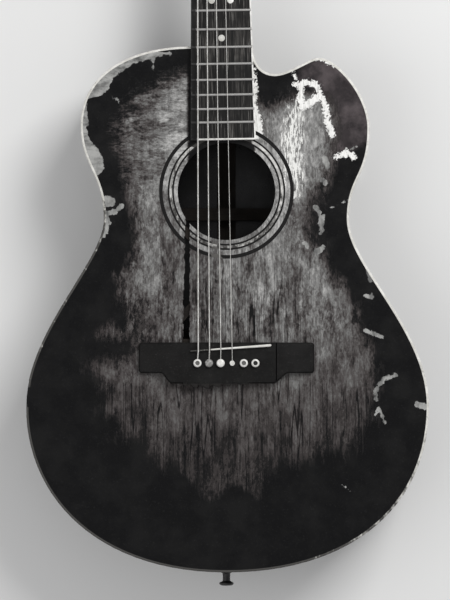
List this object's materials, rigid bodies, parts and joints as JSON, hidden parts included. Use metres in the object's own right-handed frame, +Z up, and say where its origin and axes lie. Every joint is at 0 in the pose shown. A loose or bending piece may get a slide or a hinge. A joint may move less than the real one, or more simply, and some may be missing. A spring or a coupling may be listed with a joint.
{
  "type": "acoustic guitar",
  "caption": "Weathered, broken cutaway acoustic guitar lying on its back: split soundboard, splintered bridge, missing strings, worn black finish, turning tuners.",
  "frame": {"origin": "on the back's flat outer face, straight under the soundhole's centre", "axes": "+X to the treble side (the cutaway's), +Y from the tail to the head, +Z up from the back to the soundboard"},
  "size_m": [0.387, 1.0529, 0.1233],
  "materials": {
    "worn_top": "satin",
    "black_lacquer": "gloss",
    "raw_wood": "matte",
    "dark_hardwood": "satin",
    "cream_binding": "satin",
    "black_inlay": "satin",
    "bone": "satin",
    "cream_button": "gloss",
    "black_plastic": "gloss",
    "steel": "worn",
    "wound_wire": "dull"
  },
  "bodies": {
    "guitar": {"soundboard": "worn_top", "back_plate": "black_lacquer", "bass_side": "black_lacquer", "treble_side": "black_lacquer", "top_binding": "cream_binding", "back_binding": "cream_binding", "rosette_dark_rings": "black_inlay", "rosette_pale_ring": "cream_binding", "top_lining": "raw_wood", "back_lining": "raw_wood", "neck_block": "raw_wood", "tail_block": "raw_wood", "x_brace_bass": "raw_wood", "x_brace_treble": "raw_wood", "tone_bars": "raw_wood", "finger_braces": "raw_wood", "upper_brace": "raw_wood", "soundhole_braces": "raw_wood", "bridge_plate": "raw_wood", "back_braces": "raw_wood", "back_strip": "raw_wood", "end_pin": "black_plastic", "bridge": "dark_hardwood", "saddle": "bone", "bridge_pins": "bone", "neck": "black_lacquer", "heel_cap": "cream_binding", "fingerboard": "dark_hardwood", "fingerboard_binding": "cream_binding", "frets": "steel", "position_dots": "bone", "nut": "bone", "truss_rod": "steel", "head_facing": "black_lacquer", "truss_rod_cover": "black_plastic", "cover_screws": "steel", "tuner_plates": "steel", "tuner_bushings": "steel", "tuner_screws": "steel", "string_1": "wound_wire", "string_2": "wound_wire", "string_3": "wound_wire", "string_4": "wound_wire"},
    "button_1": {"tuner_button_1": "cream_button"},
    "post_1": {"tuner_post_1": "steel", "string_winding_1": "wound_wire"},
    "button_2": {"tuner_button_2": "cream_button"},
    "post_2": {"tuner_post_2": "steel", "string_winding_2": "wound_wire"},
    "button_3": {"tuner_button_3": "cream_button"},
    "post_3": {"tuner_post_3": "steel", "string_winding_3": "wound_wire"},
    "button_4": {"tuner_button_4": "cream_button"},
    "post_4": {"tuner_post_4": "steel", "string_winding_4": "wound_wire"},
    "button_5": {"tuner_button_5": "cream_button"},
    "post_5": {"tuner_post_5": "steel"},
    "button_6": {"tuner_button_6": "cream_button"},
    "post_6": {"tuner_post_6": "steel"}
  },
  "joints": [
    {"name": "button_1_turn", "type": "hinge", "parent": "guitar", "child": "button_1", "pos_m": [-0.0312, 0.52739, 0.05739], "axis": [-0.9999, -0.0157, 0.0006], "continuous": true},
    {"name": "post_1_turn", "type": "hinge", "parent": "guitar", "child": "post_1", "pos_m": [-0.03133, 0.53606, 0.05955], "axis": [-0.0038, 0.28, 0.96], "continuous": true},
    {"name": "button_2_turn", "type": "hinge", "parent": "guitar", "child": "button_2", "pos_m": [-0.03346, 0.56672, 0.04591], "axis": [-0.9999, -0.0157, 0.0006], "continuous": true},
    {"name": "post_2_turn", "type": "hinge", "parent": "guitar", "child": "post_2", "pos_m": [-0.0336, 0.57539, 0.04807], "axis": [-0.0038, 0.28, 0.96], "continuous": true},
    {"name": "button_3_turn", "type": "hinge", "parent": "guitar", "child": "button_3", "pos_m": [-0.03573, 0.60605, 0.03443], "axis": [-0.9999, -0.0157, 0.0006], "continuous": true},
    {"name": "post_3_turn", "type": "hinge", "parent": "guitar", "child": "post_3", "pos_m": [-0.03586, 0.61472, 0.03659], "axis": [-0.0038, 0.28, 0.96], "continuous": true},
    {"name": "button_4_turn", "type": "hinge", "parent": "guitar", "child": "button_4", "pos_m": [0.01187, 0.60679, 0.0344], "axis": [0.9999, 0.0157, -0.0006], "continuous": true},
    {"name": "post_4_turn", "type": "hinge", "parent": "guitar", "child": "post_4", "pos_m": [0.01173, 0.61546, 0.03656], "axis": [-0.0038, 0.28, 0.96], "continuous": true},
    {"name": "button_5_turn", "type": "hinge", "parent": "guitar", "child": "button_5", "pos_m": [0.01085, 0.56741, 0.04588], "axis": [0.9999, 0.0157, -0.0006], "continuous": true},
    {"name": "post_5_turn", "type": "hinge", "parent": "guitar", "child": "post_5", "pos_m": [0.01072, 0.57608, 0.04804], "axis": [-0.0038, 0.28, 0.96], "continuous": true},
    {"name": "button_6_turn", "type": "hinge", "parent": "guitar", "child": "button_6", "pos_m": [0.00984, 0.52803, 0.05737], "axis": [0.9999, 0.0157, -0.0006], "continuous": true},
    {"name": "post_6_turn", "type": "hinge", "parent": "guitar", "child": "post_6", "pos_m": [0.0097, 0.5367, 0.05953], "axis": [-0.0038, 0.28, 0.96], "continuous": true}
  ],
  "couplings": [
    {"joint": "post_1_turn", "follows": "button_1_turn", "ratio": -0.0625},
    {"joint": "post_2_turn", "follows": "button_2_turn", "ratio": -0.0625},
    {"joint": "post_3_turn", "follows": "button_3_turn", "ratio": -0.0625},
    {"joint": "post_4_turn", "follows": "button_4_turn", "ratio": -0.0625},
    {"joint": "post_5_turn", "follows": "button_5_turn", "ratio": -0.0625},
    {"joint": "post_6_turn", "follows": "button_6_turn", "ratio": -0.0625}
  ]
}
